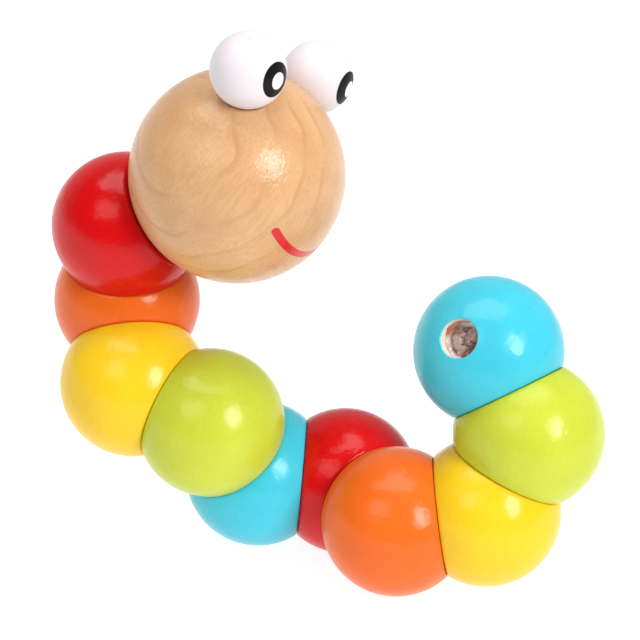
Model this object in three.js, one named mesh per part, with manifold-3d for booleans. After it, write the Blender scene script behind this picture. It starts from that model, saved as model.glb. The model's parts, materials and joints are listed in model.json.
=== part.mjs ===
// Wooden twist worm: a natural wood head with two bead eyes and ten lacquered wooden segments.
// Every segment is a ball with two flat facets set at an angle. The facets of two neighbours meet on a common
// axis, and one elastic cord through the bent bores pulls the whole chain together, so that each segment turns
// on the next. Millimetres, +Z up. The toy stands on three segments at z = 0, under the middle of its box.
import * as THREE from 'three';
import { mergeVertices } from 'three/addons/utils/BufferGeometryUtils.js';
import Module from 'manifold-3d';

const wasm = await Module();
wasm.setup();

// Balls and the chain that they make
const SEGMENT_RADIUS = 17.5;
const SEGMENT_SPACING = 21.1;
const HEAD_RADIUS = 24.75;
const NECK_SPACING = 32;
const FACET_BEND = 125;
const PAIR_GAP = 0.3;

// Pose at rest: the turn of each run of four balls, counted from the head. At 0 the run curls into a C,
// and at 180 it makes a flat zigzag.
const TURNS = [69, -77, -99, 149, 68, -163, 67, -14];
const COLOURS = ['red', 'orange', 'yellow', 'green', 'blue'];
const SEGMENTS = 2 * COLOURS.length;
const MIDDLE = 6;

// Cord, its bores, and the knots that hold it at both ends
const CORD_RADIUS = 1.5;
const BORE_RADIUS = 2.25;
const TAIL_HOLE_BEND = 109;
const TAIL_HOLE_TURN = 86;
const TAIL_POCKET = { radius: 4.5, floor: 6 };
const TAIL_KNOT_RADIUS = 4.1;
const TAIL_GLUE = { clings: [0.9, 0.7, 0.5], bottom: 2, top: 3.3, lipRadius: 3.3, lip: 3.9 };
const NECK_POCKET = { radius: 4, floor: 6 };
const NECK_KNOT_RADIUS = 3.6;
const NECK_GLUE_LENGTH = 6.3;

// Eyes: beads that sit in shallow seats, each on a glued dowel
const EYE_RADIUS = 8.5;
const EYE_DISTANCE = 30.5;
const EYE_SPREAD = 65.5;
const EYE_RISE_BEND = 139.7;
const FACE_TURN = 147.2;
const DOWEL_RADIUS = 1.5;
const DOWEL_IN_HEAD = 7;
const DOWEL_IN_EYE = 6;

// Steps round the curved surfaces
const BALL_STEPS = 24;
const HEAD_STEPS = 28;
const EYE_STEPS = 18;
const ROD_STEPS = 8;
const RING_STEPS = 18;

const UP = new THREE.Vector3(0, 0, 1);
const { degToRad } = THREE.MathUtils;

const PAINTS = {
  red: { color: 0xe63a35, roughness: 0.2 },
  orange: { color: 0xf46a2a, roughness: 0.2 },
  yellow: { color: 0xfbd93a, roughness: 0.2 },
  green: { color: 0xc9de4a, roughness: 0.2 },
  blue: { color: 0x55cfe8, roughness: 0.2 },
  wood: { color: 0xe3b585, roughness: 0.3 },
  eye_white: { color: 0xf6f1f2, roughness: 0.25 },
  dowel: { color: 0xd9b98c, roughness: 0.7 },
  cord: { color: 0x8d7568, roughness: 0.8 },
  glue: { color: 0xb9a398, roughness: 0.15 },
};

// ---- geometry helpers ----

// A geometry modelled along +Z, turned to face a direction.
function facing(geometry, direction) {
  return geometry.applyQuaternion(new THREE.Quaternion().setFromUnitVectors(UP, direction));
}

function ball(radius, steps) {
  return new THREE.SphereGeometry(radius, steps, steps / 2).rotateX(Math.PI / 2);
}

// A round rod along a direction, between two distances from the origin.
function rod(radius, direction, start, end, steps = ROD_STEPS) {
  const cylinder = new THREE.CylinderGeometry(radius, radius, end - start, steps);
  return facing(cylinder.rotateX(Math.PI / 2).translate(0, 0, (start + end) / 2), direction);
}

// A body of revolution about a direction. Its profile is a closed loop of [radius, distance] points.
function ring(profile, direction) {
  const points = [...profile, profile[0]].map(([radius, distance]) => new THREE.Vector2(radius, distance));
  return facing(new THREE.LatheGeometry(points, RING_STEPS).rotateX(Math.PI / 2), direction);
}

function toSolid(geometry) {
  const bare = geometry.clone();
  bare.deleteAttribute('normal');
  bare.deleteAttribute('uv');
  const merged = mergeVertices(bare);
  const vertProperties = merged.attributes.position.array;
  return new wasm.Manifold(new wasm.Mesh({
    numProp: 3,
    vertProperties,
    triVerts: Uint32Array.from(merged.index.array),
  }));
}

function toGeometry(solid) {
  const { vertProperties, triVerts } = solid.getMesh();
  const geometry = new THREE.BufferGeometry();
  geometry.setAttribute('position', new THREE.BufferAttribute(vertProperties, 3));
  geometry.setIndex(new THREE.BufferAttribute(triVerts, 1));
  geometry.computeVertexNormals();
  return geometry;
}

function cut(geometry, tools) {
  return toGeometry(tools.reduce((rest, tool) => rest.subtract(tool), toSolid(geometry)));
}

// The space beyond a flat facet at a distance from a ball's centre.
function beyondFacet(direction, distance, radius) {
  const width = 3 * radius;
  const block = new THREE.BoxGeometry(width, width, radius);
  return toSolid(facing(block.translate(0, 0, distance + radius / 2), direction));
}

// Two rods that cross at the centre of a ball, each running out along one direction to its own length. Each
// starts a little behind the centre, so that the two make one closed elbow.
function bentRod(radius, arms) {
  const start = -radius / 2;
  const [one, other] = arms.map(({ direction, length }) => rod(radius, direction, start, length));
  return toSolid(one).add(toSolid(other));
}

// ---- where the balls are ----

// The direction from ball c that makes an angle with the way back to ball b, turned about the line from b to c.
// A turn of 0 brings it to ball a's side.
function turnedDirection(a, b, c, angle, turn) {
  const along = c.clone().sub(b).normalize();
  const normal = b.clone().sub(a).cross(along).normalize();
  const side = normal.clone().cross(along);
  const [bend, twist] = [degToRad(angle), degToRad(turn)];
  return along.multiplyScalar(-Math.cos(bend))
    .addScaledVector(side, Math.sin(bend) * Math.cos(twist))
    .addScaledVector(normal, Math.sin(bend) * Math.sin(twist));
}

// Centres of the head (0) and the segments (1 to 10). The three in the middle rest on the ground, and the
// chain grows from them to both ends.
function placeBalls() {
  const centres = [];
  const bend = degToRad(180 - FACET_BEND);
  centres[MIDDLE] = new THREE.Vector3(0, 0, SEGMENT_RADIUS);
  centres[MIDDLE - 1] = new THREE.Vector3(-SEGMENT_SPACING, 0, SEGMENT_RADIUS);
  centres[MIDDLE + 1] = new THREE.Vector3(Math.cos(bend), -Math.sin(bend), 0)
    .multiplyScalar(SEGMENT_SPACING)
    .add(centres[MIDDLE]);
  const grow = (i, way, turn) => {
    const near = [3, 2, 1].map((steps) => centres[i - way * steps]);
    const spacing = i === 0 ? NECK_SPACING : SEGMENT_SPACING;
    centres[i] = turnedDirection(...near, FACET_BEND, turn).multiplyScalar(spacing).add(near[2]);
  };
  for (let i = MIDDLE + 2; i <= SEGMENTS; i += 1) grow(i, 1, TURNS[i - 3]);
  for (let i = MIDDLE - 2; i >= 0; i -= 1) grow(i, -1, TURNS[i]);
  return centres;
}

const centres = placeBalls();

function towards(from, to) {
  return centres[to].clone().sub(centres[from]).normalize();
}

// ---- pieces ----

function piece(name, geometry, paint) {
  const mesh = new THREE.Mesh(geometry, new THREE.MeshStandardMaterial({ ...PAINTS[paint], metalness: 0 }));
  mesh.name = name;
  return mesh;
}

const FACET = SEGMENT_SPACING / 2 - PAIR_GAP / 2;
const number = (i) => String(i).padStart(2, '0');
const segmentName = (i) => `segment_${number(i)}_${COLOURS[(i - 1) % COLOURS.length]}`;

// A segment between two neighbours: a ball with two facets, a bent bore, and its stretch of the cord.
function makeSegment(i) {
  const ways = [towards(i, i - 1), towards(i, i + 1)];
  const arms = (length) => ways.map((direction) => ({ direction, length }));
  const body = cut(ball(SEGMENT_RADIUS, BALL_STEPS), [
    ...ways.map((direction) => beyondFacet(direction, FACET, SEGMENT_RADIUS)),
    bentRod(BORE_RADIUS, arms(SEGMENT_RADIUS)),
  ]);
  return [
    piece(segmentName(i), body, COLOURS[(i - 1) % COLOURS.length]),
    piece(`cord_${number(i)}`, toGeometry(bentRod(CORD_RADIUS, arms(FACET))), 'cord'),
  ];
}

// The glue fillet that fills the corner between the tail knot and its pocket: the knot's side seen in section
// at three angles above its middle, then the pocket's wall, then the lip.
function tailFillet(knotDistance) {
  const cleared = TAIL_KNOT_RADIUS + PAIR_GAP;
  const wall = TAIL_POCKET.radius - PAIR_GAP;
  return [
    ...TAIL_GLUE.clings.map((turn) => [cleared * Math.cos(turn), cleared * Math.sin(turn)]),
    [wall, TAIL_GLUE.bottom],
    [wall, TAIL_GLUE.top],
    [TAIL_GLUE.lipRadius, TAIL_GLUE.lip],
  ].map(([radius, height]) => [radius, knotDistance + height]);
}

// The last segment has one facet. Its bore ends in a round pocket, where the knot sits under a fillet of glue.
function makeTail() {
  const back = towards(SEGMENTS, SEGMENTS - 1);
  const last = [SEGMENTS - 2, SEGMENTS - 1, SEGMENTS].map((i) => centres[i]);
  const hole = turnedDirection(...last, TAIL_HOLE_BEND, TAIL_HOLE_TURN);
  const arms = (length) => [
    { direction: back, length },
    { direction: hole, length: TAIL_POCKET.floor },
  ];
  const body = cut(ball(SEGMENT_RADIUS, BALL_STEPS), [
    beyondFacet(back, FACET, SEGMENT_RADIUS),
    bentRod(BORE_RADIUS, arms(SEGMENT_RADIUS)),
    toSolid(rod(TAIL_POCKET.radius, hole, TAIL_POCKET.floor, SEGMENT_RADIUS * 1.1, RING_STEPS)),
  ]);
  const knotDistance = TAIL_POCKET.floor + PAIR_GAP + TAIL_KNOT_RADIUS;
  const knot = ball(TAIL_KNOT_RADIUS, EYE_STEPS).translate(...hole.clone().multiplyScalar(knotDistance));
  return [
    piece(segmentName(SEGMENTS), body, COLOURS[(SEGMENTS - 1) % COLOURS.length]),
    piece(`cord_${number(SEGMENTS)}`, toGeometry(bentRod(CORD_RADIUS, arms(FACET))), 'cord'),
    piece('tail_knot', knot, 'cord'),
    piece('tail_glue', ring(tailFillet(knotDistance), hole), 'glue'),
  ];
}

// An eye bead and its dowel, on a line out of the head's centre.
function makeEye(side, way) {
  const inHead = EYE_DISTANCE - EYE_RADIUS - PAIR_GAP - DOWEL_IN_HEAD;
  const inEye = EYE_DISTANCE - EYE_RADIUS + DOWEL_IN_EYE;
  const bead = ball(EYE_RADIUS, EYE_STEPS).translate(...way.clone().multiplyScalar(EYE_DISTANCE));
  const hole = rod(DOWEL_RADIUS + PAIR_GAP, way, inHead - PAIR_GAP, inEye + PAIR_GAP);
  const seat = ball(EYE_RADIUS + PAIR_GAP, EYE_STEPS).translate(...way.clone().multiplyScalar(EYE_DISTANCE));
  return {
    pieces: [
      piece(`eye_${side}`, cut(bead, [toSolid(hole)]), 'eye_white'),
      piece(`eye_${side}_dowel`, rod(DOWEL_RADIUS, way, inHead, inEye), 'dowel'),
    ],
    cuts: [toSolid(seat), toSolid(hole)],
  };
}

// The head: a larger ball with one facet for the neck, a blind pocket for the cord's first knot, and the eyes.
function makeHead() {
  const neck = towards(0, 1);
  const joint = NECK_SPACING - SEGMENT_SPACING / 2 - PAIR_GAP / 2;
  const brow = turnedDirection(centres[2], centres[1], centres[0], EYE_RISE_BEND, FACE_TURN);
  const up = neck.clone().cross(brow).cross(neck).normalize();
  const left = neck.clone().cross(up);
  const across = left.clone().multiplyScalar(Math.sin(degToRad(EYE_SPREAD / 2)));
  const ahead = brow.clone().multiplyScalar(Math.cos(degToRad(EYE_SPREAD / 2)));
  const eyes = [
    makeEye('left', ahead.clone().add(across)),
    makeEye('right', ahead.clone().sub(across)),
  ];
  const body = cut(ball(HEAD_RADIUS, HEAD_STEPS), [
    beyondFacet(neck, joint, HEAD_RADIUS),
    toSolid(rod(NECK_POCKET.radius, neck, NECK_POCKET.floor, HEAD_RADIUS, RING_STEPS)),
    ...eyes.flatMap((eye) => eye.cuts),
  ]);
  const knotDistance = NECK_POCKET.floor + PAIR_GAP + NECK_KNOT_RADIUS;
  const knot = ball(NECK_KNOT_RADIUS, EYE_STEPS).translate(...neck.clone().multiplyScalar(knotDistance));
  const knotEnd = knotDistance + NECK_KNOT_RADIUS + PAIR_GAP;
  const [inner, outer] = [CORD_RADIUS + PAIR_GAP, NECK_POCKET.radius - PAIR_GAP];
  const glue = [[inner, 0], [outer, 0], [outer, NECK_GLUE_LENGTH], [inner, NECK_GLUE_LENGTH]]
    .map(([radius, height]) => [radius, knotEnd + height]);
  return [
    piece('head_ball', body, 'wood'),
    ...eyes.flatMap((eye) => eye.pieces),
    piece('neck_cord', rod(CORD_RADIUS, neck, knotEnd, joint), 'cord'),
    piece('neck_knot', knot, 'cord'),
    piece('neck_glue', ring(glue, neck), 'glue'),
  ];
}

// ---- the whole toy: one group for the head and one for each segment ----

const toy = new THREE.Group();
for (let i = 0; i <= SEGMENTS; i += 1) {
  const group = new THREE.Group();
  group.position.copy(centres[i]);
  if (i === 0) group.add(...makeHead());
  else if (i === SEGMENTS) group.add(...makeTail());
  else group.add(...makeSegment(i));
  toy.add(group);
}

const middle = new THREE.Box3().setFromObject(toy, true).getCenter(new THREE.Vector3());
toy.position.set(-middle.x, -middle.y, 0);

export default toy;
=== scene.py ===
import json
import math

import bmesh
import bpy
import numpy as np
from mathutils import Matrix, Quaternion, Vector, noise


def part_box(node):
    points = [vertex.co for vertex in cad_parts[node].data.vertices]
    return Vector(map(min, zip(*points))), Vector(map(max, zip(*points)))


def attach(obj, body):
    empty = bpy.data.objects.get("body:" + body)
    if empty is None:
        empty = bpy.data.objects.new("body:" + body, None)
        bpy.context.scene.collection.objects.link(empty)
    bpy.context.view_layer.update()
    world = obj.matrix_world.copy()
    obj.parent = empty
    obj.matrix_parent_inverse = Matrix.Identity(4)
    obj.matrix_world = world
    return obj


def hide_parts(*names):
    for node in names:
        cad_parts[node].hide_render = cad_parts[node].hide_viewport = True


# A wooden twist worm: a natural wood head with two bead eyes, and ten lacquered wooden balls, the segments,
# that turn on each other at their slanted facets. The balls' places come from the frame's joints.
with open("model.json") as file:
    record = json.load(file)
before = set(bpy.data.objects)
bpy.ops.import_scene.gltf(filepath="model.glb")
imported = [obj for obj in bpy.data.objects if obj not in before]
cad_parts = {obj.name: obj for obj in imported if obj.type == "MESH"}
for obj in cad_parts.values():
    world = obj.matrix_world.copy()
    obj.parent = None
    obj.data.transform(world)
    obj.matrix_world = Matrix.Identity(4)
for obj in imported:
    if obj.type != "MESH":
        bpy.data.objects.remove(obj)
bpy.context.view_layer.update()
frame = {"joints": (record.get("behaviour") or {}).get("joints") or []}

MM = 0.001

# Turned balls: from the head's centre to the neck's facet, the gaps at facets and eye seats, and their rims
NECK_REACH = 21.45 * MM
FACET_GAP = 0.1 * MM
SEAT_GAP = 0.12 * MM
RIM_ROUNDING = 0.4 * MM

# A ball's mesh: how fine it is, the band along a rim where it is finer, the spacing of its points on the rim
# as a share of the usual, and how often the stretch that holds a point of the surface is halved
SEGMENT_LEVEL = 6
HEAD_LEVEL = 7
RIM_ZONE = math.radians(9)
RIM_SPACING = 0.35
HALVINGS = 32
TINY = 1e-9

# Lacquer reaches down to a skin's depth from a ball's surface, and covers a facet
SEGMENT_SKIN = 0.3 * MM
HEAD_SKIN = 3 * MM
FACET_SKIN = 0.05 * MM

# Bores, the cord in them, the pockets for its knots, and a step past a surface
BORE_RADIUS = 2.25 * MM
CORD_RADIUS = 1.5 * MM
ELBOW = 5 * MM
TAIL_POCKET_RADIUS = 4.5 * MM
TAIL_POCKET_FLOOR = 6 * MM
TAIL_LIP = 0.35 * MM
TAIL_FLARE = 2 * MM
NECK_POCKET_RADIUS = 4 * MM
NECK_POCKET_FLOOR = 6 * MM
PAST = 1 * MM

# Eye dowels, and the room that their holes leave round them and at each end
DOWEL_RADIUS = 1.5 * MM
DOWEL_LENGTH = 13.3 * MM
DOWEL_CHAMFER = 0.3 * MM
DOWEL_HOLE_RADIUS = 1.8 * MM
DOWEL_END_ROOM = 0.3 * MM

# Knots: how far they reach from their middle, and their cord's radius as a share of that
TAIL_KNOT = {"reach": 4.3 * MM, "thickness": 0.46}
NECK_KNOT = {"reach": 3.5 * MM, "thickness": 0.4}
# Shares of the reach: how far the loops rise and fall, and the radius of the ball of cord inside them
KNOT_RISE = 0.42
KNOT_CORE = 0.95
# The size of the surface's steps, of its lumps, and how far the lumps stand out
KNOT_DETAIL = 0.11 * MM
KNOT_LUMP = 1.1 * MM
KNOT_FRAY = 0.3 * MM

# Glue round the tail's knot: the side where it climbs the pocket's wall, its height all round and its climb
# there, its lap over the knot all round and on that side, and how much its edge's waves change the lap
TAIL_GLUE_SIDE = Vector((-0.604, 0.69, 0.398))
GLUE_HEIGHT = 0.5 * MM
GLUE_CLIMB = 1.5 * MM
GLUE_CLIMB_STEEPNESS = 3
GLUE_LAP = 0.5 * MM
GLUE_SIDE_LAP = 0.5 * MM
GLUE_WAVE_LAP = 0.4
# The waves: how many go round, their height in millimetres, and where they start
GLUE_WAVES = ((3, 0.25, 1), (7, 0.15, 0), (13, 0.1, 0))
GLUE_WALL_GAP = 0.05 * MM
# The plug of glue round the cord in the neck's pocket
PLUG_HALF_LENGTH = 3.1 * MM
PLUG_GAP = 0.1 * MM
PLUG_CORNER = 0.4 * MM

# Colours, in sRGB. The segments have the first five of them in turn.
TONES = {
    "red": "d4080d", "orange": "ee6a1e", "yellow": "f5ca22", "green": "c6d03e", "blue": "44c4da",
    "head_pale": "daab7c", "head_middle": "bf8a5a", "head_brown": "a4693d", "smile": "cf1a22",
    "inner_pale": "f5e6d9", "inner_dark": "e2ccb6",
    "dowel_pale": "e6c79c", "dowel_dark": "c59a66",
    # The cord's palest tone is a painted highlight on its braid
    "cord_dark": "937069", "cord_pale": "c3aca6", "cord_braid_highlight": "e0d2cc",
    # The cord's two darkest tones are painted shade, in its creases and in its sunken pockets
    "cord_crease_shade": "3d2420", "cord_sunken_shade": "5a2c26",
    # The glue's grey and white are partly its own colour and partly painted highlight
    "glue_grey_and_highlight": "c4aca6", "glue_white_and_highlight": "efe4e6", "glue_brown": "a8643c",
}
COLOURS = list(TONES)[:5]
SEGMENTS = 2 * len(COLOURS)

# Camera, with its angles in degrees, and its lens and sensor in millimetres
CAMERA_AIM = Vector((-1.538, -0.027, 59.888)) * MM
CAMERA_AZIMUTH = -0.924
CAMERA_ELEVATION = 24.758
CAMERA_ROLL = 5.463
CAMERA_DISTANCE = 464.447 * MM
CAMERA_LENS = 112.49
CAMERA_CLIP = 50
SENSOR_WIDTH = 36
# Lights: name, shape, direction from the toy in the camera's axes, width and height in metres, brightness
SOFTBOXES = (
    ("strip_light", "ELLIPSE", (0.605, 0.165, 0.775), 0.5, 0.66, 13),
    ("top_light", "ELLIPSE", (-0.06, 0.93, 0.36), 1.5, 0.9, 3.0),
    ("fill_light", "RECTANGLE", (-0.44, 0.36, 0.82), 0.7, 0.55, 2.7),
)
SOFTBOX_DISTANCE = 1.3
# Surroundings: how far a direction points back to the camera, at the two ends of a smooth change, and the
# brightness there
ROOM = (-0.7, 0.2, 0.65, 0.12)
# Table top: its size in metres, its colours, and its glow, as two places along Y in metres, with a smooth
# change between them, and the strength at each
FLOOR_SIZE = 8
FLOOR_TONES = ((0.38, 0.38, 0.38), (0.4, 0.4, 0.4))
FLOOR_GLOW = (-0.6, -0.1, 0.0, 0.88)

# ---- where the balls are, from the frame's joints, head first ----

# The root is the segment that touches the table. A segment's facets lie half a spacing from its centre,
# along its two joints' axes.
ROOT = 6
joint_points = [Vector(joint["pos_m"]) for joint in frame["joints"]]
joint_axes = [Vector(joint["axis"]).normalized() for joint in frame["joints"]]
root_span = joint_points[ROOT] - joint_points[ROOT - 1]
half_spacing = root_span.length / (joint_axes[ROOT - 1] + joint_axes[ROOT]).length
centres = [joint_points[0] - joint_axes[0] * NECK_REACH]
centres += [point + axis * half_spacing for point, axis in zip(joint_points, joint_axes)]
segment_radius = centres[ROOT].z
head_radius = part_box("head_ball")[1].z - centres[0].z
facet_reach = half_spacing - FACET_GAP / 2
neck_facet_reach = NECK_REACH - FACET_GAP / 2


def box_middle(node):
    low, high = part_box(node)
    return (low + high) / 2


eye_centres = {side: box_middle(f"eye_{side}") for side in ("left", "right")}
eye_low, eye_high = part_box("eye_right")
eye_radius = (eye_high.z - eye_low.z) / 2
tail_out = (box_middle("tail_glue") - centres[SEGMENTS]).normalized()

# The face's own directions: out from the neck, to the toy's left, and up over the brow
face_out = -joint_axes[0]
face_left = (eye_centres["left"] - eye_centres["right"]).normalized()
face_up = face_out.cross(face_left).normalized()


def from_face(parts):
    """A direction from its parts to the face's left, up over the brow, and out of the face."""
    left, up, out = parts
    return (left * face_left + up * face_up + out * face_out).normalized()


# ---- camera and studio ----

def add_camera():
    azimuth = math.radians(CAMERA_AZIMUTH)
    elevation = math.radians(CAMERA_ELEVATION)
    back = Vector((
        math.sin(azimuth) * math.cos(elevation),
        -math.cos(azimuth) * math.cos(elevation),
        math.sin(elevation),
    ))
    data = bpy.data.cameras.new("camera")
    data.sensor_width = SENSOR_WIDTH
    data.lens = CAMERA_LENS
    data.clip_start = CAMERA_DISTANCE / CAMERA_CLIP
    data.clip_end = CAMERA_DISTANCE * CAMERA_CLIP
    camera = bpy.data.objects.new("camera", data)
    camera.rotation_mode = "QUATERNION"
    roll = Quaternion((0, 0, 1), math.radians(CAMERA_ROLL))
    camera.rotation_quaternion = (-back).to_track_quat("-Z", "Y") @ roll
    camera.location = CAMERA_AIM + back * CAMERA_DISTANCE
    bpy.context.scene.collection.objects.link(camera)
    bpy.context.scene.camera = camera
    return camera.rotation_quaternion.copy()


def add_softbox(view, name, shape, towards, width, height, brightness):
    """A light that faces the toy, with its width level in the picture."""
    towards = (view @ Vector(towards)).normalized()
    level = (view @ Vector((0, 1, 0))).cross(towards).normalized()
    turn = Matrix((level, towards.cross(level), towards)).transposed()
    data = bpy.data.lights.new(name, "AREA")
    data.shape = shape
    data.size = width
    data.size_y = height
    data.energy = brightness * math.pi * width * height
    light = bpy.data.objects.new(name, data)
    light.rotation_mode = "QUATERNION"
    light.location = CAMERA_AIM + towards * SOFTBOX_DISTANCE
    light.rotation_quaternion = turn.to_quaternion()
    bpy.context.scene.collection.objects.link(light)


def add_floor():
    """A pale table top that glows, but not near the camera, so that the balls mirror no bright front edge."""
    bpy.ops.mesh.primitive_plane_add(size=FLOOR_SIZE)
    floor = bpy.context.object
    floor.name = "floor"
    shader = Shader("floor_paper")
    fibre = shader.noise(shader.place, size=4 * MM, detail=3)
    glow = shader.step(shader.along(shader.place, (0, 1, 0)), *FLOOR_GLOW)
    shader.set("Base Color", shader.mix(fibre, *FLOOR_TONES))
    shader.set("Roughness", 0.9)
    shader.set("Specular IOR Level", 0.1)
    shader.set("Emission Color", (1, 1, 1))
    shader.set("Emission Strength", glow)
    floor.data.materials.append(shader.material)


def add_studio(view):
    """Surroundings that are bright behind the toy and dim behind the camera, the softboxes and the table."""
    world = bpy.data.worlds.new("studio")
    world.use_nodes = True
    tree = world.node_tree
    background = tree.nodes["Background"]
    background.inputs["Color"].default_value = (1, 1, 1, 1)
    place = tree.nodes.new("ShaderNodeTexCoord")
    facing = tree.nodes.new("ShaderNodeVectorMath")
    facing.operation = "DOT_PRODUCT"
    facing.inputs[1].default_value = view @ Vector((0, 0, 1))
    strength = tree.nodes.new("ShaderNodeMapRange")
    strength.interpolation_type = "SMOOTHSTEP"
    for name, value in zip(("From Min", "From Max", "To Min", "To Max"), ROOM):
        strength.inputs[name].default_value = value
    tree.links.new(place.outputs["Generated"], facing.inputs[0])
    tree.links.new(facing.outputs["Value"], strength.inputs["Value"])
    tree.links.new(strength.outputs["Result"], background.inputs["Strength"])
    bpy.context.scene.world = world
    bpy.context.scene.view_settings.view_transform = "Standard"
    for softbox in SOFTBOXES:
        add_softbox(view, *softbox)
    add_floor()


# ---- materials ----

# Where most of a noise's values lie
USUAL = (0.3, 0.7)


def tint(name):
    """A named tone as a linear colour."""
    code = TONES[name]
    parts = [int(code[i:i + 2], 16) / 255 for i in (0, 2, 4)]
    return tuple(c / 12.92 if c <= 0.04045 else ((c + 0.055) / 1.055) ** 2.4 for c in parts)


def opaque(colour):
    return (*colour, 1) if len(colour) == 3 else colour


class Shader:
    """A material's node tree, with short calls for the nodes that the materials share."""

    # The Mix node's sockets for colours. Its sockets for numbers and vectors have the same names.
    MIX_ONE, MIX_OTHER, MIX_RESULT = 6, 7, 2

    def __init__(self, name):
        self.material = bpy.data.materials.new(name)
        self.material.use_nodes = True
        self.tree = self.material.node_tree
        self.surface = self.tree.nodes["Principled BSDF"]
        self.place = self.node("ShaderNodeTexCoord").outputs["Object"]

    def node(self, kind, **settings):
        made = self.tree.nodes.new(kind)
        for key, value in settings.items():
            setattr(made, key, value)
        return made

    def feed(self, socket, value):
        if isinstance(value, bpy.types.NodeSocket):
            self.tree.links.new(value, socket)
        elif socket.type == "RGBA":
            socket.default_value = opaque(value)
        else:
            socket.default_value = value

    def set(self, name, value):
        self.feed(self.surface.inputs[name], value)

    def gloss(self, coat, coat_roughness, specular=0.5):
        self.set("Coat Weight", coat)
        self.set("Coat Roughness", coat_roughness)
        self.set("Specular IOR Level", specular)

    def math(self, operation, *values):
        made = self.node("ShaderNodeMath", operation=operation)
        for socket, value in zip(made.inputs, values):
            self.feed(socket, value)
        return made.outputs[0]

    def add(self, one, other):
        return self.math("ADD", one, other)

    def minus(self, one, other):
        return self.math("SUBTRACT", one, other)

    def times(self, value, *factors):
        for factor in factors:
            value = self.math("MULTIPLY", value, factor)
        return value

    def hypotenuse(self, one, other):
        return self.math("SQRT", self.add(self.times(one, one), self.times(other, other)))

    def vector(self, operation, *values):
        made = self.node("ShaderNodeVectorMath", operation=operation)
        for socket, value in zip(made.inputs, values):
            self.feed(socket, value)
        return made.outputs["Value" if operation == "DOT_PRODUCT" else "Vector"]

    def along(self, place, direction):
        return self.vector("DOT_PRODUCT", place, tuple(direction))

    def away_from(self, point):
        return self.vector("SUBTRACT", self.place, tuple(point))

    def noise(self, place, size, detail=2, roughness=0.5, distortion=0):
        """Noise whose broadest features are about a size in metres."""
        made = self.node("ShaderNodeTexNoise")
        settings = {"Scale": 1 / size, "Detail": detail, "Roughness": roughness, "Distortion": distortion}
        self.feed(made.inputs["Vector"], place)
        for name, value in settings.items():
            made.inputs[name].default_value = value
        return made.outputs["Fac"]

    def step(self, value, low, high, start=0, end=1):
        """start below low, end above high, and a smooth change between them."""
        made = self.node("ShaderNodeMapRange", interpolation_type="SMOOTHSTEP")
        for socket, number in zip(made.inputs, (value, low, high, start, end)):
            self.feed(socket, number)
        return made.outputs["Result"]

    def within(self, value, limit, softness):
        """1 where a value is under its limit, 0 where it is over, and soft between them."""
        return self.step(value, limit - softness, limit + softness, 1, 0)

    def mix(self, factor, one, other):
        made = self.node("ShaderNodeMix", data_type="RGBA")
        self.feed(made.inputs["Factor"], factor)
        self.feed(made.inputs[self.MIX_ONE], one)
        self.feed(made.inputs[self.MIX_OTHER], other)
        return made.outputs[self.MIX_RESULT]

    def bump(self, height, depth, under=None):
        made = self.node("ShaderNodeBump")
        made.inputs["Distance"].default_value = depth
        self.feed(made.inputs["Height"], height)
        if under is not None:
            self.feed(made.inputs["Normal"], under)
        return made.outputs["Normal"]

    def fibres(self, direction, length, width, detail=3):
        """Noise drawn out along a direction."""
        side, other = across(direction)
        parts = [
            self.math("DIVIDE", self.along(self.place, direction), length),
            self.math("DIVIDE", self.along(self.place, side), width),
            self.math("DIVIDE", self.along(self.place, other), width),
        ]
        joined = self.node("ShaderNodeCombineXYZ")
        for socket, part in zip(joined.inputs, parts):
            self.feed(socket, part)
        return self.noise(joined.outputs[0], 1, detail)


# Orange peel in clear and coloured lacquer
PEEL = {"size": 1.3 * MM, "detail": 3, "roughness": 0.6}
LACQUER_FIBRE = Vector((0.2, 0.3, 0.93)).normalized()
# The darkest part of a lacquer's colour, as a share of it
LACQUER_DEEP = 0.91


def lacquer(colour):
    """Glossy coloured lacquer over turned wood: a faint grain, slight orange peel and a few dust specks."""
    shader = Shader(f"lacquer_{colour}")
    base = tint(colour)
    deep = tuple(LACQUER_DEEP * part for part in base)
    grain = shader.fibres(LACQUER_FIBRE, length=9 * MM, width=0.9 * MM)
    cloud = shader.noise(shader.place, size=14 * MM)
    tone = shader.add(shader.times(grain, 0.35), shader.times(cloud, 0.65))
    ripple = shader.noise(shader.place, size=5 * MM, detail=1)
    peel = shader.noise(shader.place, **PEEL)
    specks = shader.step(shader.noise(shader.place, size=0.5 * MM, detail=1), 0.78, 0.86)
    wavy = shader.bump(ripple, depth=0.15 * MM)
    peeled = shader.bump(peel, depth=0.1 * MM, under=wavy)
    dusty = shader.bump(specks, depth=0.02 * MM, under=peeled)
    shader.set("Base Color", shader.mix(shader.step(tone, *USUAL), deep, base))
    shader.set("Normal", dusty)
    shader.set("Coat Normal", dusty)
    shader.set("Roughness", shader.step(cloud, *USUAL, 0.32, 0.42))
    shader.gloss(coat=0.42, coat_roughness=0.13, specular=0.05)
    return shader.material


INNER_FIBRE = Vector((0.1, 0.8, 0.6)).normalized()
DOWEL_FIBRE = Vector((0.3, -0.2, 0.93)).normalized()


def bare_wood(name, fibre, pale, dark):
    shader = Shader(name)
    grain = shader.fibres(fibre, length=6 * MM, width=0.5 * MM)
    shader.set("Base Color", shader.mix(shader.step(grain, *USUAL), tint(dark), tint(pale)))
    shader.set("Normal", shader.bump(grain, depth=0.06 * MM))
    shader.set("Roughness", shader.step(grain, *USUAL, 0.75, 0.6))
    return shader.material


# Smile, in head radii, in the plane seen when looking straight at the face
SMILE_RADIUS = 0.794
SMILE_CENTRE = -0.346
SMILE_HALF_WIDTH = 0.535
SMILE_HALF_LINE = 0.034
SMILE_SOFTNESS = 0.004
SMILE_DOWN = (0, -0.755, -0.656)


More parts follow.
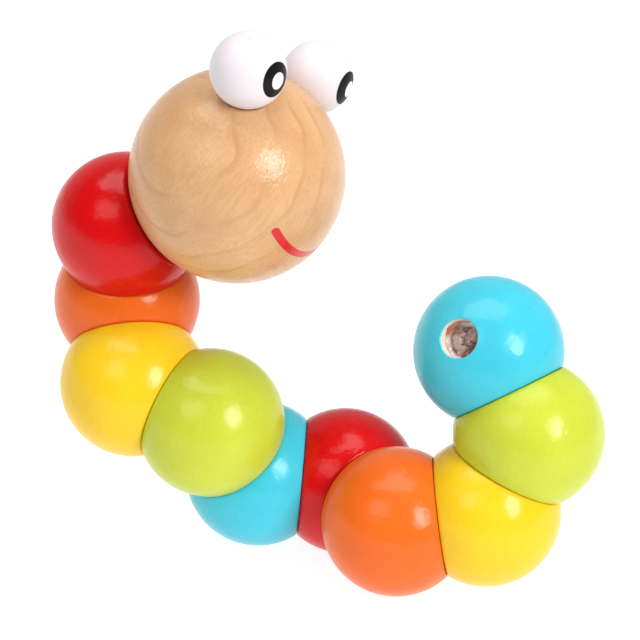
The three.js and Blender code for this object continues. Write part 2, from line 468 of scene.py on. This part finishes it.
def smile(shader, local):
    """1 on the painted smile: an arc with round ends on the front of the head. local is in head radii."""
    face_down = from_face(SMILE_DOWN)
    face_forward = face_down.cross(face_left).normalized()
    limit = math.asin(SMILE_HALF_WIDTH / SMILE_RADIUS)
    side = shader.along(local, face_left)
    down = shader.minus(shader.along(local, face_down), SMILE_CENTRE)
    turn = shader.math("MAXIMUM", shader.math("ARCTAN2", side, down), -limit)
    turn = shader.math("MINIMUM", turn, limit)
    sideways = shader.minus(side, shader.times(shader.math("SINE", turn), SMILE_RADIUS))
    downwards = shader.minus(down, shader.times(shader.math("COSINE", turn), SMILE_RADIUS))
    line = shader.within(shader.hypotenuse(sideways, downwards), SMILE_HALF_LINE, SMILE_SOFTNESS)
    return shader.times(line, shader.math("GREATER_THAN", shader.along(local, face_forward), 0))


# Head wood's directions, left, up and out of the face: towards the bark, and along the fibres
WOOD_BARK = (-0.936, 0.352, -0.021)
WOOD_FIBRE = (0.157, 0.461, 0.873)
# Growth rings: from the tree's heart to the head's centre, a ring's width, how far the rings sway, and how
# much they lean along the fibres
HEART_DEPTH = 55 * MM
RING_WIDTH = 5.2 * MM
RING_SWAY = 12 * MM
RING_LEAN = 0.12


def late_wood(shader, offset, bark, fibre):
    """How dark the growth rings are. Each darkens slowly, then fast, and ends soon after."""
    depth = shader.add(shader.along(offset, bark), HEART_DEPTH)
    from_heart = shader.hypotenuse(depth, shader.along(offset, bark.cross(fibre)))
    sway = shader.minus(shader.noise(shader.place, size=26 * MM), 0.5)
    age = shader.add(from_heart, shader.times(sway, RING_SWAY))
    age = shader.add(age, shader.times(shader.along(offset, fibre), RING_LEAN))
    ring = shader.math("FRACT", shader.math("DIVIDE", age, RING_WIDTH))
    dark = shader.add(shader.step(ring, 0.1, 0.9, 0, 0.35), shader.step(ring, 0.72, 0.9, 0, 0.65))
    ending = shader.step(ring, 0.9, 1.0, 1, 0)
    bark_side = shader.step(shader.along(offset, bark), -12 * MM, 10 * MM, 0.4, 1)
    patches = shader.step(shader.noise(shader.place, size=14 * MM, detail=1), *USUAL)
    return shader.times(dark, ending, bark_side, patches)


def head_wood():
    """Clear lacquered hardwood: growth rings that the ball cuts into arches, fibres, flecks and a smile."""
    shader = Shader("natural_wood")
    bark = from_face(WOOD_BARK)
    fibre = from_face(WOOD_FIBRE)
    fibre = (fibre - bark * fibre.dot(bark)).normalized()
    offset = shader.away_from(centres[0])
    late = late_wood(shader, offset, bark, fibre)
    grain = shader.fibres(fibre, length=7 * MM, width=0.45 * MM)
    cloud = shader.noise(shader.place, size=16 * MM)
    flecks = shader.step(shader.fibres(fibre, length=1.6 * MM, width=0.22 * MM, detail=1), 0.68, 0.76)
    middle = tint("head_middle")
    tone = shader.mix(shader.times(late, 0.65), tint("head_pale"), middle)
    tone = shader.mix(shader.step(grain, 0.35, 0.75, 0, 0.35), tone, middle)
    tone = shader.mix(shader.step(cloud, 0.45, 0.75, 0, 0.5), tone, middle)
    tone = shader.mix(shader.times(flecks, 0.4), tone, tint("head_brown"))
    local = shader.vector("SCALE", offset)
    local.node.inputs["Scale"].default_value = 1 / head_radius
    painted = smile(shader, local)
    relief = shader.bump(grain, depth=0.02 * MM)
    peeled = shader.bump(shader.noise(shader.place, **PEEL), depth=0.13 * MM, under=relief)
    shader.set("Base Color", shader.mix(painted, tone, tint("smile")))
    shader.set("Normal", shader.bump(painted, depth=0.02 * MM, under=peeled))
    shader.set("Coat Normal", peeled)
    shader.set("Roughness", shader.step(cloud, *USUAL, 0.34, 0.44))
    shader.gloss(coat=0.5, coat_roughness=0.16, specular=0.15)
    return shader.material


# Printed eyes: the pupil's and the dot's directions from the bead's centre, left, up and out of the face
PUPILS = {"right": (-0.140, -0.626, 0.767), "left": (0.055, -0.668, 0.742)}
GLINTS = {"right": (-0.122, -0.635, 0.763), "left": (0.130, -0.671, 0.730)}
PUPIL_ANGLE = math.radians(28)
GLINT_ANGLE = math.radians(13)
PRINT_SOFTNESS = math.radians(0.5)
EYE_WHITES = ((0.77, 0.70, 0.73), (0.81, 0.76, 0.79))
PUPIL_BLACK = (0.006, 0.005, 0.006)
GLINT_WHITE = (0.82, 0.80, 0.81)
# The small mark that the lathe's centre left in the right eye's bead
DIMPLE = (-0.574, 0.555, 0.603)
DIMPLE_RADIUS = 0.5 * MM
DIMPLE_LIFT = 0.2 * MM


def printed_eye(side):
    """White enamel on a wooden bead, with a printed black pupil and its white dot."""
    shader = Shader(f"eye_enamel_{side}")
    outward = shader.vector("NORMALIZE", shader.away_from(eye_centres[side]))

    def spot(direction, angle):
        turn = shader.math("ARCCOSINE", shader.along(outward, from_face(direction)))
        return shader.within(turn, angle, PRINT_SOFTNESS)

    cloud = shader.noise(shader.place, size=6 * MM)
    tone = shader.mix(cloud, *EYE_WHITES)
    tone = shader.mix(spot(PUPILS[side], PUPIL_ANGLE), tone, PUPIL_BLACK)
    tone = shader.mix(spot(GLINTS[side], GLINT_ANGLE), tone, GLINT_WHITE)
    wavy = shader.bump(shader.noise(shader.place, size=4 * MM, detail=1), depth=0.06 * MM)
    peeled = shader.bump(shader.noise(shader.place, size=1.4 * MM), depth=0.02 * MM, under=wavy)
    shader.set("Base Color", tone)
    shader.set("Normal", peeled)
    shader.set("Coat Normal", peeled)
    shader.set("Roughness", shader.step(cloud, *USUAL, 0.4, 0.5))
    shader.gloss(coat=0.2, coat_roughness=0.2, specular=0.05)
    return shader.material


def cord_textile(name, glazed):
    """Braided textile over elastic, brown-grey, with painted highlights on its braid and painted shade in its
    creases. Glue glazes it, and painted shade darkens the sunken pockets on one side.
    """
    shader = Shader(name)
    braid = shader.noise(shader.place, size=0.5 * MM, detail=3, roughness=0.6)
    cloud = shader.noise(shader.place, size=1.8 * MM, distortion=0.6)
    fold = shader.minus(shader.noise(shader.place, size=4.5 * MM, detail=3, distortion=0.4), 0.5)
    # Creases: the bump sinks them, and their dark colour is painted shade
    crease_shade = shader.step(shader.math("ABSOLUTE", fold), 0.004, 0.016, 1, 0)
    tone = shader.mix(shader.step(cloud, 0.36, 0.6), tint("cord_dark"), tint("cord_pale"))
    # Painted highlights on the braid's raised strands
    tone = shader.mix(shader.step(braid, 0.55, 0.75, 0, 0.6), tone, tint("cord_braid_highlight"))
    tone = shader.mix(shader.times(crease_shade, 0.85), tone, tint("cord_crease_shade"))
    if glazed:
        # Painted shade: darker patches in the knot's sunken pockets, on the side away from the glue's climb
        far_side = shader.along(shader.away_from(box_middle("tail_knot")), -TAIL_GLUE_SIDE)
        sunken_shade = shader.times(shader.step(cloud, 0.42, 0.5), shader.step(far_side, 1.2 * MM, 2.6 * MM))
        tone = shader.mix(shader.times(sunken_shade, 0.8), tone, tint("cord_sunken_shade"))
    braided = shader.bump(braid, depth=0.12 * MM)
    shader.set("Base Color", tone)
    shader.set("Normal", shader.bump(crease_shade, depth=-0.15 * MM, under=braided))
    shader.set("Roughness", shader.step(braid, *USUAL, 0.55, 0.8))
    shader.gloss(coat=0.8 if glazed else 0.0, coat_roughness=0.18)
    return shader.material


def glue_material():
    """Set wood glue: a glossy, cloudy pale film whose pale tones are partly painted highlight, and brown
    where it has run up the tail pocket's wall.
    """
    shader = Shader("set_glue")
    streak = shader.noise(shader.place, size=2 * MM, detail=3, distortion=0.8)
    up_wall = shader.along(shader.away_from(box_middle("tail_glue")), TAIL_GLUE_SIDE)
    up_wall = shader.add(up_wall, shader.times(streak, 3 * MM))
    # Grey and white streaks: partly the glue's own colour, partly painted highlight
    tone = shader.mix(shader.step(streak, 0.4, 0.6), tint("glue_grey_and_highlight"), tint("glue_white_and_highlight"))
    tone = shader.mix(shader.step(up_wall, 4.6 * MM, 5.6 * MM), tone, tint("glue_brown"))
    shader.set("Base Color", tone)
    shader.set("Normal", shader.bump(streak, depth=0.1 * MM))
    shader.set("Roughness", shader.step(streak, *USUAL, 0.2, 0.35))
    shader.gloss(coat=0.6, coat_roughness=0.08)
    return shader.material


# ---- geometry helpers ----

def across(axis):
    """Two directions square to an axis and to each other."""
    side = axis.orthogonal().normalized()
    return side, axis.cross(side)


def turns_of(steps):
    return [2 * math.pi * k / steps for k in range(steps)]


def round_to(side, other, turn):
    return math.cos(turn) * side + math.sin(turn) * other


def band(start, end, count):
    """Faces between two rings of points, from the first number in each."""
    after = [(k + 1) % count for k in range(count)]
    return [[start + k, start + after[k], end + after[k], end + k] for k in range(count)]


def new_piece(name, points, faces):
    mesh = bpy.data.meshes.new(name)
    mesh.from_pydata([tuple(point) for point in points], [], faces)
    mesh.validate()
    piece = bpy.data.objects.new(name, mesh)
    bpy.context.scene.collection.objects.link(piece)
    return piece


def smooth_max(one, other, width):
    """The greater of two distances, rounded over a width where they are close."""
    blend = np.maximum(width - np.abs(one - other), 0) / width
    return np.maximum(one, other) + blend * blend * width / 4


def sphere_directions(level):
    """Directions evenly over a sphere, and the triangles between them."""
    net = bmesh.new()
    bmesh.ops.create_icosphere(net, subdivisions=level, radius=1)
    directions = np.array([vert.co for vert in net.verts], float)
    faces = [[vert.index for vert in face.verts] for face in net.faces]
    net.free()
    return directions / np.linalg.norm(directions, axis=1)[:, None], faces


def crowd_towards_rim(directions, axis, rim):
    """Draws directions near a circle about an axis towards it, where the surface bends most."""
    along = directions @ axis
    turn = np.arccos(np.clip(along, -1, 1))
    share = np.clip((turn - rim) / RIM_ZONE, -1, 1)
    drawn = RIM_ZONE * (RIM_SPACING * share + (1 - RIM_SPACING) * share ** 3)
    near = np.abs(turn - rim) < RIM_ZONE
    new_turn = np.where(near, rim + drawn, turn)
    sideways = directions - along[:, None] * axis
    sideways /= np.maximum(np.linalg.norm(sideways, axis=1), TINY)[:, None]
    moved = np.cos(new_turn)[:, None] * axis + np.sin(new_turn)[:, None] * sideways
    return np.where(near[:, None], moved, directions)


def turned_ball(name, centre, radius, facets, seats=(), level=SEGMENT_LEVEL):
    """A ball with flat facets and round seats, and softly rounded rims where they meet its surface.
    A facet is a direction and a distance, and a seat is a sphere's centre and radius."""
    directions, faces = sphere_directions(level)
    planes = [(np.array(direction), distance) for direction, distance in facets]
    hollows = [(np.array(place - centre), size) for place, size in seats]
    for normal, distance in planes:
        directions = crowd_towards_rim(directions, normal, math.acos(distance / radius))
    for place, size in hollows:
        reach = np.linalg.norm(place)
        rim = math.acos((reach ** 2 + radius ** 2 - size ** 2) / (2 * reach * radius))
        directions = crowd_towards_rim(directions, place / reach, rim)
    low = np.zeros(len(directions))
    high = np.full(len(directions), radius + PAST)
    for _ in range(HALVINGS):
        middle = (low + high) / 2
        points = directions * middle[:, None]
        outside = middle - radius
        for normal, distance in planes:
            outside = smooth_max(outside, points @ normal - distance, RIM_ROUNDING)
        for place, size in hollows:
            outside = smooth_max(outside, size - np.linalg.norm(points - place, axis=1), RIM_ROUNDING)
        low = np.where(outside < 0, middle, low)
        high = np.where(outside < 0, high, middle)
    return new_piece(name, directions * high[:, None] + np.array(centre), faces)


def lathe(name, profile, origin, axis, steps=64):
    """A closed body of revolution. Its profile is a list of radii and distances along the axis, and starts
    and ends on the axis."""
    side, other = across(axis)
    points = [origin + axis * profile[0][1]]
    for radius, distance in profile[1:-1]:
        points += [
            origin + axis * distance + radius * round_to(side, other, turn)
            for turn in turns_of(steps)
        ]
    points.append(origin + axis * profile[-1][1])
    start = len(points) - 1 - steps
    faces = [[0, 1 + (k + 1) % steps, 1 + k] for k in range(steps)]
    for ring in range(len(profile) - 3):
        faces += band(1 + ring * steps, 1 + (ring + 1) * steps, steps)
    faces += [[start + k, start + (k + 1) % steps, len(points) - 1] for k in range(steps)]
    return new_piece(name, points, faces)


def small_ball(name, centre, axis, radius, steps=24):
    profile = [
        (radius * math.sin(math.pi * k / steps), -radius * math.cos(math.pi * k / steps))
        for k in range(steps + 1)
    ]
    return lathe(name, profile, centre, axis, 2 * steps)


def sweep(name, path, radius, steps=24, closed=False):
    """A round tube along a path of points, carried along without twist."""
    count = len(path)
    points, faces = [], []
    side = None
    for k, point in enumerate(path):
        ahead = path[(k + 1) % count] if closed or k < count - 1 else point
        behind = path[k - 1] if closed or k > 0 else point
        forward = (ahead - behind).normalized()
        side = forward.orthogonal() if side is None else side - forward * side.dot(forward)
        side = side.normalized()
        other = forward.cross(side)
        points += [point + radius * round_to(side, other, turn) for turn in turns_of(steps)]
    for k in range(count if closed else count - 1):
        faces += band(k * steps, (k + 1) % count * steps, steps)
    if not closed:
        faces.append(list(reversed(range(steps))))
        faces.append([(count - 1) * steps + j for j in range(steps)])
    return new_piece(name, points, faces)


def ring_body(name, centre, axis, side, sections):
    """A closed ring about an axis, with its sections at even turns from a side. A section is a list of radii
    and distances along the axis."""
    other = axis.cross(side)
    count = len(sections[0])
    points, faces = [], []
    for k, turn in enumerate(turns_of(len(sections))):
        way = round_to(side, other, turn)
        points += [centre + way * radius + axis * distance for radius, distance in sections[k]]
        faces += band(k * count, (k + 1) % len(sections) * count, count)
    return new_piece(name, points, faces)


def bent_path(centre, arms, steps=10):
    """A line in along one arm, round an elbow at the centre, and out along the other. An arm is a direction
    and a length."""
    (start_way, start_length), (end_way, end_length) = arms
    path = [centre + start_way * start_length]
    for k in range(steps + 1):
        t = k / steps
        path.append(centre + ELBOW * ((1 - t) ** 2 * start_way + t ** 2 * end_way))
    path.append(centre + end_way * end_length)
    return path


def joined(name, *pieces):
    """One piece with the surfaces of several, which are deleted."""
    points, faces = [], []
    for piece in pieces:
        start = len(points)
        points += [vertex.co.copy() for vertex in piece.data.vertices]
        faces += [[start + index for index in polygon.vertices] for polygon in piece.data.polygons]
        bpy.data.objects.remove(piece)
    return new_piece(name, points, faces)


def apply_modifiers(piece):
    graph = bpy.context.evaluated_depsgraph_get()
    mesh = bpy.data.meshes.new_from_object(piece.evaluated_get(graph))
    piece.modifiers.clear()
    piece.data = mesh


def cut(piece, *cutters):
    """Takes closed bodies out of a piece, and deletes them."""
    for cutter in cutters:
        modifier = piece.modifiers.new("cut", "BOOLEAN")
        modifier.operation = "DIFFERENCE"
        modifier.solver = "EXACT"
        modifier.object = cutter
        apply_modifiers(piece)
        bpy.data.objects.remove(cutter)


def paint_outside(piece, centre, radius, skin, facets, outer, inner):
    """Gives a ball its lacquer, and bare wood in its bores and pockets, which no lacquer reaches."""
    piece.data.materials.append(outer)
    piece.data.materials.append(inner)
    for polygon in piece.data.polygons:
        offset = polygon.center - centre
        under_skin = offset.length < radius - skin
        off_facets = all(offset.dot(way) < distance - FACET_SKIN for way, distance in facets)
        polygon.material_index = int(under_skin and off_facets)


def finish_piece(piece, body, node, material=None, sharp=30):
    """Shades a piece, ties it to its body and material slot, and hides the CAD node that it stands for."""
    for polygon in piece.data.polygons:
        polygon.use_smooth = True
    piece.data.set_sharp_from_angle(angle=math.radians(sharp))
    if material is not None:
        piece.data.materials.append(material)
    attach(piece, body)
    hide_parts(node)


# ---- head ----

def make_head(inner_wood, dowel_wood, textile, glue):
    centre = centres[0]
    neck = joint_axes[0]
    facets = [(neck, neck_facet_reach)]
    seats = [(eye_centres[side], eye_radius + SEAT_GAP) for side in ("left", "right")]
    ball = turned_ball("head_wood", centre, head_radius, facets, seats, HEAD_LEVEL)
    cut(ball, peg("pocket", neck, NECK_POCKET_RADIUS, NECK_POCKET_FLOOR, head_radius))
    for side in ("left", "right"):
        way, low, high = dowel_span(side)
        cut(ball, peg("hole", way, DOWEL_HOLE_RADIUS, low - DOWEL_END_ROOM, high))
    paint_outside(ball, centre, head_radius, HEAD_SKIN, facets, head_wood(), inner_wood)
    finish_piece(ball, "head", "head_ball")
    for side in ("left", "right"):
        make_eye(side, dowel_wood)
    knot_middle = box_middle("neck_knot")
    knot = knot_piece("neck_knot_loops", knot_middle, neck, **NECK_KNOT)
    finish_piece(knot, "head", "neck_knot", textile, sharp=180)
    cord_start = centre + neck * (knot_middle - centre).length
    cord = sweep("neck_cord_braid", [cord_start, centre + neck * neck_facet_reach], CORD_RADIUS)
    finish_piece(cord, "head", "neck_cord", textile)
    finish_piece(neck_plug(centre, neck), "head", "neck_glue", glue)


def peg(name, way, radius, low, high, chamfer=0.0):
    """A round peg between two distances from the head's centre, with chamfered ends if it has a chamfer."""
    profile = [(0, low), (radius, low + chamfer), (radius, high - chamfer), (0, high)]
    if chamfer:
        profile.insert(1, (radius - chamfer, low))
        profile.insert(-1, (radius - chamfer, high))
    return lathe(name, profile, centres[0], way, 32 if chamfer else 64)


def dowel_span(side):
    """An eye's direction from the head's centre, and where its dowel starts and ends along it."""
    way = (eye_centres[side] - centres[0]).normalized()
    middle = (box_middle(f"eye_{side}_dowel") - centres[0]).dot(way)
    return way, middle - DOWEL_LENGTH / 2, middle + DOWEL_LENGTH / 2


def make_eye(side, dowel_wood):
    centre = eye_centres[side]
    way, low, high = dowel_span(side)
    bead = turned_ball(f"eye_{side}_bead", centre, eye_radius, [])
    cut(bead, peg("hole", way, DOWEL_HOLE_RADIUS, low, high + DOWEL_END_ROOM))
    if side == "right":
        outward = from_face(DIMPLE)
        dimple = centre + outward * (eye_radius + DIMPLE_LIFT)
        cut(bead, small_ball("dimple", dimple, outward, DIMPLE_RADIUS))
    finish_piece(bead, "head", f"eye_{side}", printed_eye(side))
    dowel = peg(f"eye_{side}_peg", way, DOWEL_RADIUS, low, high, DOWEL_CHAMFER)
    finish_piece(dowel, "head", f"eye_{side}_dowel", dowel_wood)


def neck_plug(centre, axis):
    """A ring of glue round the cord in the neck pocket, with rounded edges."""
    middle = (box_middle("neck_glue") - centre).length
    inner = CORD_RADIUS + PLUG_GAP + PLUG_CORNER
    outer = NECK_POCKET_RADIUS - PLUG_GAP - PLUG_CORNER
    top = middle + PLUG_HALF_LENGTH - PLUG_CORNER
    bottom = middle - PLUG_HALF_LENGTH + PLUG_CORNER
    corners = ((outer, top, 90), (outer, bottom, 0), (inner, bottom, -90), (inner, top, -180))
    section = []
    for radius, distance, start in corners:
        for k in range(5):
            turn = math.radians(start - 22.5 * k)
            section.append((radius + PLUG_CORNER * math.cos(turn), distance + PLUG_CORNER * math.sin(turn)))
    side, _ = across(axis)
    return ring_body("neck_glue_plug", centre, axis, side, [section] * 48)


def knot_piece(name, middle, axis, reach, thickness, steps=96):
    """An overhand knot: a trefoil of cord, pulled tight so that its loops press together, and frayed."""
    side, other = across(axis)
    cord = reach * thickness
    scale = (reach - cord) / 3
    path = []
    for t in turns_of(steps):
        u = math.sin(t) + 2 * math.sin(2 * t)
        v = math.cos(t) - 2 * math.cos(2 * t)
        w = -math.sin(3 * t)
        path.append(middle + scale * (u * side + v * other) + KNOT_RISE * reach * w * axis)
    loops = sweep(name, path, cord, 20, closed=True)
    core = small_ball("core", middle, axis, KNOT_CORE * reach)
    knot = joined(name, loops, core)
    modifier = knot.modifiers.new("press", "REMESH")
    modifier.mode = "VOXEL"
    modifier.voxel_size = KNOT_DETAIL
    apply_modifiers(knot)
    frayed = []
    for vertex in knot.data.vertices:
        place = vertex.co / KNOT_LUMP
        fray = KNOT_FRAY * (noise.noise(place) + 0.5 * noise.noise(place * 2.7))
        frayed.extend(vertex.co + vertex.normal * fray)
    knot.data.vertices.foreach_set("co", frayed)
    return knot


# ---- segments, and the tail ----

def make_segment(number, paints, inner_wood, textile):
    colour = COLOURS[(number - 1) % len(COLOURS)]
    node = f"segment_{number:02d}_{colour}"
    body = f"segment_{number:02d}"
    centre = centres[number]
    ways = [-joint_axes[number - 1], joint_axes[number]]
    facets = [(way, facet_reach) for way in ways]
    ball = turned_ball(f"{node}_ball", centre, segment_radius, facets)
    cut(ball, sweep("bore", bent_path(centre, [(way, segment_radius) for way in ways]), BORE_RADIUS, 32))
    paint_outside(ball, centre, segment_radius, SEGMENT_SKIN, facets, paints[colour], inner_wood)
    finish_piece(ball, body, node)
    cord = sweep(f"cord_{number:02d}_braid", bent_path(centre, facets), CORD_RADIUS)
    finish_piece(cord, body, f"cord_{number:02d}", textile)


def make_tail(paints, inner_wood, textile, glazed, glue):
    colour = COLOURS[-1]
    node = f"segment_{SEGMENTS:02d}_{colour}"
    body = f"segment_{SEGMENTS:02d}"
    centre = centres[SEGMENTS]
    back = -joint_axes[-1]
    facets = [(back, facet_reach)]
    ball = turned_ball(f"{node}_ball", centre, segment_radius, facets, level=HEAD_LEVEL)
    bore_path = bent_path(centre, [(back, segment_radius), (tail_out, TAIL_POCKET_FLOOR + PAST)])
    cut(ball, sweep("bore", bore_path, BORE_RADIUS, 32), tail_pocket_cutter(centre))
    paint_outside(ball, centre, segment_radius, SEGMENT_SKIN, facets, paints[colour], inner_wood)
    finish_piece(ball, body, node)
    cord_path = bent_path(centre, facets + [(tail_out, TAIL_POCKET_FLOOR)])
    cord = sweep(f"cord_{SEGMENTS:02d}_braid", cord_path, CORD_RADIUS)
    finish_piece(cord, body, f"cord_{SEGMENTS:02d}", textile)
    knot = knot_piece("tail_knot_loops", box_middle("tail_knot"), tail_out, **TAIL_KNOT)
    finish_piece(knot, body, "tail_knot", glazed, sharp=180)
    finish_piece(tail_fillet(centre), body, "tail_glue", glue, sharp=180)


def tail_pocket_cutter(centre):
    """The pocket's space: a flat floor, a round wall, and a mouth that flares round a small lip."""
    lip_radius = TAIL_POCKET_RADIUS + TAIL_LIP
    lip_height = math.sqrt((segment_radius - TAIL_LIP) ** 2 - lip_radius ** 2)
    top = segment_radius + PAST
    profile = [(0, TAIL_POCKET_FLOOR), (TAIL_POCKET_RADIUS, TAIL_POCKET_FLOOR)]
    for degrees in range(0, 61, 10):
        turn = math.radians(degrees)
        profile.append((lip_radius - TAIL_LIP * math.cos(turn), lip_height + TAIL_LIP * math.sin(turn)))
    profile += [(lip_radius + TAIL_FLARE, top), (0, top)]
    return lathe("pocket", profile, centre, tail_out, 96)


def tail_fillet(centre):
    """A thin skin of glue between the knot and the pocket's wall. It climbs the wall higher on one side."""
    middle = (box_middle("tail_glue") - centre).length
    wall = TAIL_POCKET_RADIUS - GLUE_WALL_GAP
    side = TAIL_GLUE_SIDE - tail_out * TAIL_GLUE_SIDE.dot(tail_out)
    sections = []
    for turn in turns_of(96):
        climb = GLUE_CLIMB * math.exp(GLUE_CLIMB_STEEPNESS * (math.cos(turn) - 1))
        wave = MM * sum(height * math.sin(count * turn + start) for count, height, start in GLUE_WAVES)
        top = middle + GLUE_HEIGHT + wave + climb
        lap = GLUE_LAP + GLUE_WAVE_LAP * wave + GLUE_SIDE_LAP * (1 + math.cos(turn))
        # Up the wall, over a thin edge, and down a slope to the knot
        sections.append([
            (wall, middle - MM),
            (wall, top),
            (wall - 0.12 * MM, top + 0.05 * MM),
            (wall - 0.25 * MM, top - 0.15 * MM),
            (wall - 0.5 * lap, middle + 0.1 * MM),
            (wall - lap, middle - 0.3 * MM),
            (wall - lap, middle - MM),
        ])
    return ring_body("tail_glue_fillet", centre, tail_out, side.normalized(), sections)


# ---- the scene ----

view = add_camera()
add_studio(view)
paints = {colour: lacquer(colour) for colour in COLOURS}
inner_wood = bare_wood("bare_wood", INNER_FIBRE, "inner_pale", "inner_dark")
dowel_wood = bare_wood("dowel_wood", DOWEL_FIBRE, "dowel_pale", "dowel_dark")
textile = cord_textile("cord_textile", glazed=False)
glazed = cord_textile("knot_textile", glazed=True)
glue = glue_material()
make_head(inner_wood, dowel_wood, textile, glue)
for number in range(1, SEGMENTS):
    make_segment(number, paints, inner_wood, textile)
make_tail(paints, inner_wood, textile, glazed, glue)
